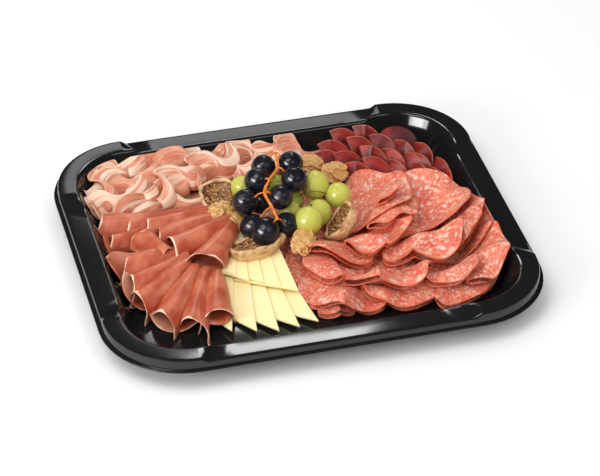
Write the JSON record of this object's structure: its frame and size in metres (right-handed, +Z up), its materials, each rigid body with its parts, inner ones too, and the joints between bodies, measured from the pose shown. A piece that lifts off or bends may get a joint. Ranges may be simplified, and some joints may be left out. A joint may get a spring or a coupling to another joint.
{
  "type": "charcuterie platter",
  "caption": "Rounded rectangular black plastic tray filled with folded cold meats, sliced cheese, grapes, dried figs and walnuts, ready to serve.",
  "frame": {"origin": "centre of the tray's flat underside, on the surface that it stands on", "axes": "+X along the tray's long side, towards the salami; +Y towards the back edge, away from the cheese; +Z up"},
  "size_m": [0.36, 0.309, 0.0557],
  "materials": {
    "tray_plastic": "high-gloss black moulded plastic, near-mirror reflections, roughness about 0.1",
    "salami": "moist sliced salami, coral red with dense pale fat specks and an orange-red rim, satin",
    "cured_ham": "moist cured ham, warm pink with pale fat along one edge, satin",
    "marbled_neck_ham": "moist marbled pork, pink with wide streaks of pale fat, satin",
    "air_dried_beef": "air-dried beef, dark wine red with a lighter rim, satin",
    "sliced_cheese": "semi-hard cheese, pale yellow, smooth and slightly waxy",
    "black_grape": "blue-black grape skin with a thin grey bloom; orange stalk",
    "green_grape": "translucent yellow-green grape skin, glossy; brown stalk",
    "dried_fig": "dried fig, wrinkled tan skin, brown seeded cut face",
    "walnut_kernel": "walnut kernel, furrowed golden brown skin"
  },
  "bodies": {
    "root": {"black_grape_bunch": "black_grape", "bresaola_back_1": "air_dried_beef", "bresaola_back_2": "air_dried_beef", "bresaola_back_3": "air_dried_beef", "bresaola_back_4": "air_dried_beef", "bresaola_back_5": "air_dried_beef", "bresaola_back_6": "air_dried_beef", "bresaola_front_1": "air_dried_beef", "bresaola_front_2": "air_dried_beef", "bresaola_front_3": "air_dried_beef", "cheese_back_1": "sliced_cheese", "cheese_back_2": "sliced_cheese", "cheese_back_3": "sliced_cheese", "cheese_back_4": "sliced_cheese", "cheese_back_5": "sliced_cheese", "cheese_front_1": "sliced_cheese", "cheese_front_2": "sliced_cheese", "cheese_front_3": "sliced_cheese", "cheese_front_4": "sliced_cheese", "cheese_front_5": "sliced_cheese", "coppa_1": "marbled_neck_ham", "coppa_2": "marbled_neck_ham", "coppa_3": "marbled_neck_ham", "coppa_4": "marbled_neck_ham", "coppa_5": "marbled_neck_ham", "coppa_6": "marbled_neck_ham", "coppa_7": "marbled_neck_ham", "fig_half_1": "dried_fig", "fig_half_2": "dried_fig", "fig_half_3": "dried_fig", "green_grape_bunch": "green_grape", "ham_slice_1": "cured_ham", "ham_slice_10": "cured_ham", "ham_slice_11": "cured_ham", "ham_slice_2": "cured_ham", "ham_slice_3": "cured_ham", "ham_slice_4": "cured_ham", "ham_slice_5": "cured_ham", "ham_slice_6": "cured_ham", "ham_slice_7": "cured_ham", "ham_slice_8": "cured_ham", "ham_slice_9": "cured_ham", "salami_1": "salami", "salami_10": "salami", "salami_11": "salami", "salami_12": "salami", "salami_2": "salami", "salami_3": "salami", "salami_4": "salami", "salami_5": "salami", "salami_6": "salami", "salami_7": "salami", "salami_8": "salami", "salami_9": "salami", "tray": "tray_plastic", "walnut_1": "walnut_kernel", "walnut_2": "walnut_kernel", "walnut_3": "walnut_kernel", "walnut_4": "walnut_kernel", "walnut_5": "walnut_kernel"}
  },
  "joints": []
}
